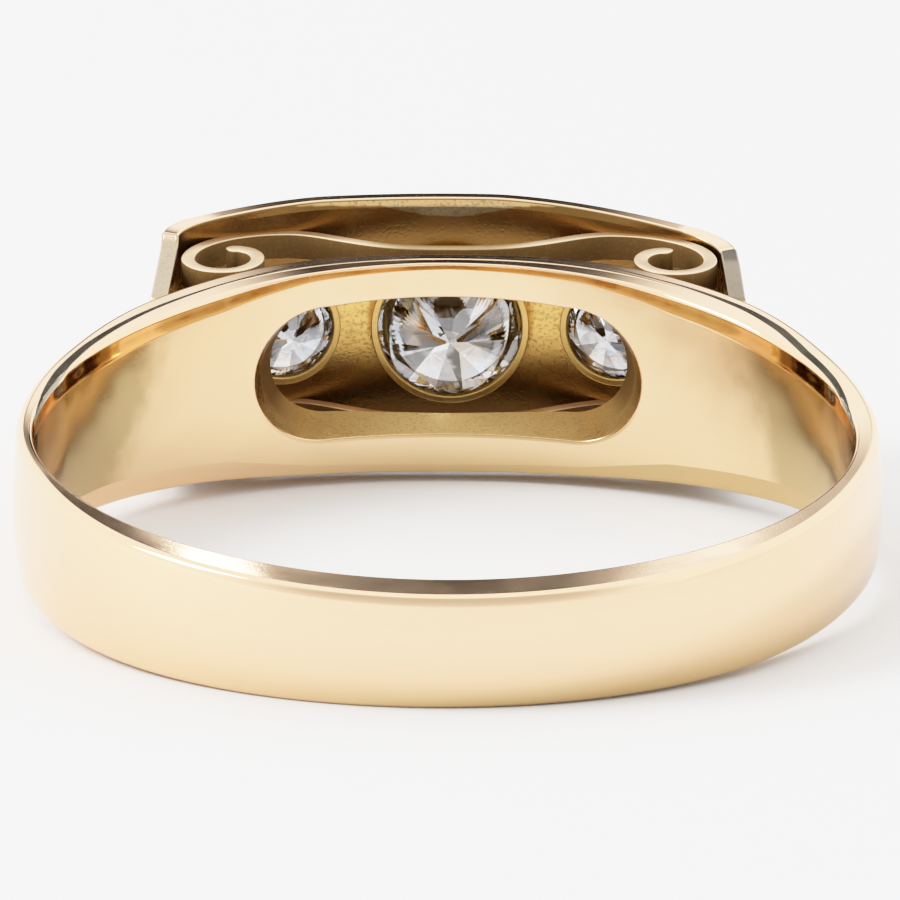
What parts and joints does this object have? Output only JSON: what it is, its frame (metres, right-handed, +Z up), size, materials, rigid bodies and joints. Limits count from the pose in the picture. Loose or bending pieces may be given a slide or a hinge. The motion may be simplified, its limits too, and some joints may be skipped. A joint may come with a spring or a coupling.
{
  "type": "three stone ring",
  "caption": "Yellow gold finger ring with a line of round clear stones in an arched head plate, scroll gallery strips below it and an open window behind the stones.",
  "frame": {"origin": "on the surface that the ring lies on, below the middle of its box", "axes": "+Y from the back of the band towards the stones, +Z up, +X to the right seen from the back of the band; the finger's axis lies in the YZ plane, 4.54 degrees off +Z"},
  "size_m": [0.0192, 0.0234, 0.0061],
  "materials": {
    "yellow_gold": "polished outside, satin inside the band, brushed under the head plate",
    "clear_stone": "polished facets, colourless"
  },
  "bodies": {
    "root": {"ring_mount": "yellow_gold", "center_stone": "clear_stone", "left_stone": "clear_stone", "right_stone": "clear_stone"}
  },
  "joints": []
}
